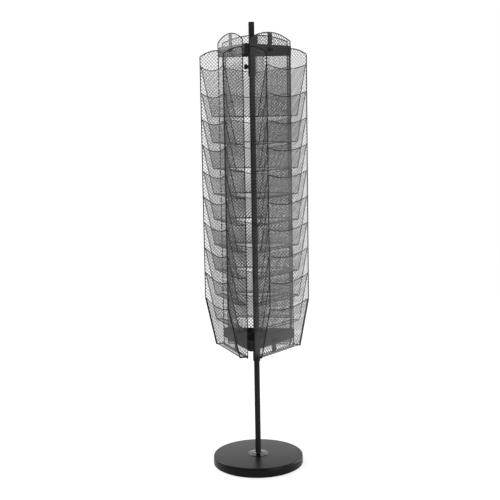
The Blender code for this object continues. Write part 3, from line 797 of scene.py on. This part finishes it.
def expanded_mesh(sheet, name):
    """Fills a flat sheet with two crossing rows of strands, cut to the sheet's outline."""
    low, high = Vector(sheet.bound_box[0]), Vector(sheet.bound_box[6])
    reach = (high - low).length
    count = math.ceil(reach / strand_pitch)
    outline = twin(sheet, "outline")
    pick(outline)
    block = outline.modifiers.new("block", "SOLIDIFY")
    block.thickness = outline_depth
    block.offset = 0
    bpy.ops.object.modifier_apply(modifier=block.name)
    rows = []
    for turn, steel in ((math.pi / 4, strand_steel), (-math.pi / 4, crossing_steel)):
        bpy.ops.object.select_all(action="DESELECT")
        bpy.ops.mesh.primitive_cube_add(
            size=1, location=(-strand_pitch * (count - 1) / 2, 0, 0), scale=(strand_width, steel, reach),
        )
        strands = settle(bpy.context.object)
        row = strands.modifiers.new("row", "ARRAY")
        row.count = count
        row.use_relative_offset = False
        row.use_constant_offset = True
        row.constant_offset_displace = (strand_pitch, 0, 0)
        bpy.ops.object.modifier_apply(modifier=row.name)
        strands.rotation_euler = (0, turn, 0)
        strands.location = (low + high) / 2
        settle(strands)
        carve(strands, outline, "INTERSECT")
        rows.append(strands)
    scrap(outline)
    return join(name, rows)


back_mesh = expanded_mesh(back_sheet, "back_mesh")
back_mesh.location = (0, rack_back, 0)
settle(back_mesh)
side_mesh = expanded_mesh(side_sheet, "side_mesh")
side_mesh.rotation_euler = (0, 0, math.pi / 2)
side_mesh.location = (0, rack_back, 0)
settle(side_mesh)

# The strands are black, but their coat is drawn grey as a painted sheen for the light their rolled flat
# faces catch, so a sheet looks like a grey veil, clouded over 20 mm
strand_flow = 0.02
lattice_painted_sheen, tree, shader, spot = new_finish("expanded_steel_painted_sheen")
flow = add_node(tree, "ShaderNodeTexNoise", {"Scale": 1 / strand_flow, "Detail": 3.0}, {"Vector": spot})
# Painted sheen: these two greys stand for the light on the strands' faces, not the black coat's own colour
coat = add_node(
    tree, "ShaderNodeMix", {"data_type": "RGBA", 6: linear("#424244"), 7: linear("#4e4e50")},
    {0: flow.outputs["Fac"]},
)
sheen = add_node(
    tree, "ShaderNodeMapRange", {"To Min": 0.4, "To Max": 0.5}, {"Value": flow.outputs["Fac"]},
)
tree.links.new(coat.outputs[2], shader.inputs["Base Color"])
tree.links.new(sheen.outputs["Result"], shader.inputs["Roughness"])

for rack, turn in rack_turns.items():
    back = twin(back_mesh, rack + "_rack_back_mesh", turn=turn)
    fit(back, lattice_painted_sheen, "black_mesh", "carousel", rack + "_rack_back_panel")
    for side, across in (("a", -rim_x), ("b", rim_x)):
        wall = twin(side_mesh, f"{rack}_rack_side_mesh_{side}")
        wall.data.transform(Matrix.Rotation(turn, 4, "Z") @ Matrix.Translation((across, 0, 0)))
        fit(wall, lattice_painted_sheen, "black_mesh", "carousel", f"{rack}_rack_side_wall_{side}")
scrap(back_mesh, side_mesh, back_sheet, side_sheet)


# Rack bolts
# Pan head bolts through the back mesh, the bracket's strap and its band, nutted inside.
# Two at each bracket on each rack, beside the bracket's arm; steel, powder coated like the brackets.
head_seat = rack_back + half_sheet
washer_radius = 0.0062
washer_top = head_seat + 0.0010
head_radius = 0.0047
head_side_top = head_seat + 0.0026
head_shoulder = 0.0038
head_shoulder_top = head_seat + 0.0036
head_top = head_seat + 0.0040
socket_mouth = 0.0019
socket_radius = 0.0016
socket_end = head_seat + 0.0024
bolt_head = lathe("bolt_head", [
    (0, head_seat), (washer_radius, head_seat), (washer_radius, washer_top), (head_radius, washer_top),
    (head_radius, head_side_top), (head_shoulder, head_shoulder_top), (socket_mouth, head_top),
    (socket_radius, socket_end), (0, socket_end),
], steps=32)

nut_seat = band_reach - band_steel
nut_radius = 0.0046
nut_height = 0.004
bpy.ops.object.select_all(action="DESELECT")
bpy.ops.mesh.primitive_cylinder_add(
    vertices=6, radius=nut_radius, depth=nut_height, location=(0, 0, nut_seat - nut_height / 2),
)
nut = settle(bpy.context.object)
soften(nut, broken_edge)

thread_radius = 0.0025
thread_start = nut_seat - 0.0062
bolt_tip = nut_seat - 0.007
bolt_tip_radius = 0.0021
bolt_end = lathe("bolt_end", [
    (0, bolt_tip), (bolt_tip_radius, bolt_tip), (thread_radius, thread_start),
    (thread_radius, head_seat), (0, head_seat),
], steps=24)

bolt = join("bolt", [bolt_head, nut, bolt_end])
bolt.rotation_euler = (-math.pi / 2, 0, 0)
settle(bolt)
beside_arm = 0.0078
for rack, turn in rack_turns.items():
    for level, height in (("upper", band_middle + upper_lift), ("lower", band_middle)):
        pair = []
        for across in (-beside_arm, beside_arm):
            one = twin(bolt, "bolt_copy")
            one.data.transform(Matrix.Rotation(turn, 4, "Z") @ Matrix.Translation((across, 0, height)))
            pair.append(one)
        fit(join(f"{rack}_rack_{level}_bolts", pair), powder, "black_coat", "carousel")
scrap(bolt)


# Pockets
# Ten to a rack: a slanted mesh front with a dipped lip on a narrow mesh floor, edged with thin wire.
# Folded from one expanded sheet, wire welded round its edges, and hung between the rack's sides.
pocket_height = 0.190
pocket_pitch = 0.100
pocket_count = 10
lip_dip = 0.019
pocket_wire = 0.0016
floor_lowest = side_bottom + beside_wire
half_width = rim_x - beside_sheet - pocket_wire

# The front leans like the rack's lower bend and clears its wire, measured square to the front
lean = math.atan2(slope.x, slope.z)
front_clear = (beside_wire + strand_steel / 2) / math.cos(lean)
front_start = rim_foot_depth + beside_wire * math.tan(lean) - front_clear
front_height = pocket_height / math.cos(lean)
front_sheet = flat_sheet(-half_width, half_width, 0, front_height)
bow_edge(lambda middle: middle.z > front_height - near, cuts=15, rise=-lip_dip / math.cos(lean))
bpy.ops.object.mode_set(mode="OBJECT")
floor_depth = front_start - beside_wire
floor_sheet = flat_sheet(-half_width, half_width, 0, floor_depth)
bpy.ops.object.mode_set(mode="OBJECT")

front_edge = edge_wire(front_sheet, "front_edge", pocket_wire)
floor_edge = edge_wire(floor_sheet, "floor_edge", pocket_wire, lambda middle: middle.z < floor_depth - near)
front_mesh = expanded_mesh(front_sheet, "front_mesh")
floor_mesh = expanded_mesh(floor_sheet, "floor_mesh")
for part, tilt, out in (
    (front_edge, -lean, front_start), (front_mesh, -lean, front_start),
    (floor_edge, -math.pi / 2, beside_wire), (floor_mesh, -math.pi / 2, beside_wire),
):
    part.rotation_euler = (tilt, 0, 0)
    part.location = (0, rack_back + out, strand_steel / 2)
    settle(part)
pocket_sheet = join("pocket_sheet", [front_mesh, floor_mesh])
pocket_edge = join("pocket_edge", [front_edge, floor_edge])
for rack, turn in rack_turns.items():
    for number in range(1, pocket_count + 1):
        floor_height = floor_lowest + (pocket_count - number) * pocket_pitch
        made = twin(pocket_sheet, f"{rack}_rack_mesh_pocket_{number:02d}", floor_height, turn)
        fit(made, lattice_painted_sheen, "black_mesh", "carousel", f"{rack}_rack_pocket_{number:02d}")
        edged = twin(pocket_edge, f"{rack}_rack_pocket_wire_{number:02d}", floor_height, turn)
        fit(edged, matt, "black_coat", "carousel")
scrap(pocket_sheet, pocket_edge, front_sheet, floor_sheet)


# Studio
# A pale floor, a white surround and four soft lamps, seen from the photograph's place.
# The camera sees floor and surround white; glossy surfaces see them bright behind the rack, dim in front.
stage_width = 12
stage_length = 7
stage_middle = 2.6
floor_glow = 0.64
surround_light = 0.75
dim_front = 0.08

bpy.ops.object.select_all(action="DESELECT")
bpy.ops.mesh.primitive_plane_add(size=1, location=(0, stage_middle, 0))
floor = bpy.context.object
floor.name = "studio_floor"
floor.scale = (stage_width, stage_length, 1)
settle(floor)
pale, tree, shader, spot = new_finish("pale_studio_floor", roughness=0.9, specular=0.0)
shader.inputs["Base Color"].default_value = linear("#b8b8b8")
shader.inputs["Emission Color"].default_value = linear("#ffffff")
path = add_node(tree, "ShaderNodeLightPath")
mirrored = add_node(
    tree, "ShaderNodeMath", {"operation": "MAXIMUM"},
    {0: path.outputs["Is Glossy Ray"], 1: path.outputs["Is Transmission Ray"]},
)
ground = add_node(tree, "ShaderNodeSeparateXYZ", links={0: spot})
behind = add_node(
    tree, "ShaderNodeMapRange", {"From Min": -0.3, "From Max": 0.5, "To Min": dim_front, "To Max": 1.0},
    {"Value": ground.outputs["Y"]},
)
bounced = add_node(
    tree, "ShaderNodeMath", {"operation": "MULTIPLY"},
    {0: mirrored.outputs[0], 1: behind.outputs["Result"]},
)
shown = add_node(
    tree, "ShaderNodeMath", {"operation": "MAXIMUM"},
    {0: path.outputs["Is Camera Ray"], 1: bounced.outputs[0]},
)
glow = add_node(tree, "ShaderNodeMath", {"operation": "MULTIPLY", 1: floor_glow}, {0: shown.outputs[0]})
tree.links.new(glow.outputs[0], shader.inputs["Emission Strength"])
dress(floor, pale)

world = bpy.data.worlds.new("studio_surround")
bpy.context.scene.world = world
world.use_nodes = True
tree = world.node_tree
surround = tree.nodes["Background"]
path = add_node(tree, "ShaderNodeLightPath")
spot = add_node(tree, "ShaderNodeTexCoord").outputs["Generated"]
way = add_node(tree, "ShaderNodeSeparateXYZ", links={0: spot})
behind = add_node(
    tree, "ShaderNodeMapRange", {"From Min": -0.6, "From Max": 0.7, "To Min": dim_front, "To Max": 1.0},
    {"Value": way.outputs["Y"]},
)
mirrored = add_node(
    tree, "ShaderNodeMath", {"operation": "MAXIMUM"},
    {0: path.outputs["Is Glossy Ray"], 1: path.outputs["Is Transmission Ray"]},
)
# A mix of numbers takes its two values on sockets 2 and 3
lit = add_node(
    tree, "ShaderNodeMix", {2: surround_light}, {0: mirrored.outputs[0], 3: behind.outputs["Result"]},
)
seen = add_node(tree, "ShaderNodeMix", {3: 1.0}, {0: path.outputs["Is Camera Ray"], 2: lit.outputs[0]})
surround.inputs["Color"].default_value = linear("#ffffff")
tree.links.new(seen.outputs[0], surround.inputs["Strength"])

lamp_target = Vector((0, 0, 1.0))
for name, place, width, height, power in (
    ("front_softbox", Vector((-1.6, -2.8, 3.4)), 1.4, 1.4, 12),
    ("side_softbox", Vector((2.35, -1.8, 0.9)), 1.2, 1.8, 24),
    ("left_softbox", Vector((-2.16, 1.16, 2.0)), 1.2, 1.4, 42),
    ("right_softbox", Vector((1.55, 0.81, 0.4)), 0.8, 0.7, 12),
):
    lamp = bpy.data.lights.new(name, "AREA")
    lamp.shape = "RECTANGLE"
    lamp.size = width
    lamp.size_y = height
    lamp.energy = power
    holder = bpy.data.objects.new(name, lamp)
    bpy.context.scene.collection.objects.link(holder)
    holder.location = place
    holder.rotation_euler = (lamp_target - place).to_track_quat("-Z", "Y").to_euler()
    holder.visible_camera = False

# The camera's tilt, roll and heading, in degrees, and its focal length on a 36 mm sensor
camera_turn = (81.8698, 0.9752, 7.7151)
lens = bpy.data.cameras.new("photo_view")
lens.sensor_width = 36
lens.lens = 72.157
camera = bpy.data.objects.new("photo_view", lens)
bpy.context.scene.collection.objects.link(camera)
camera.location = (0.50744, -3.81924, 1.4094)
camera.rotation_euler = [math.radians(angle) for angle in camera_turn]
bpy.context.scene.camera = camera
bpy.context.scene.view_settings.view_transform = "Standard"
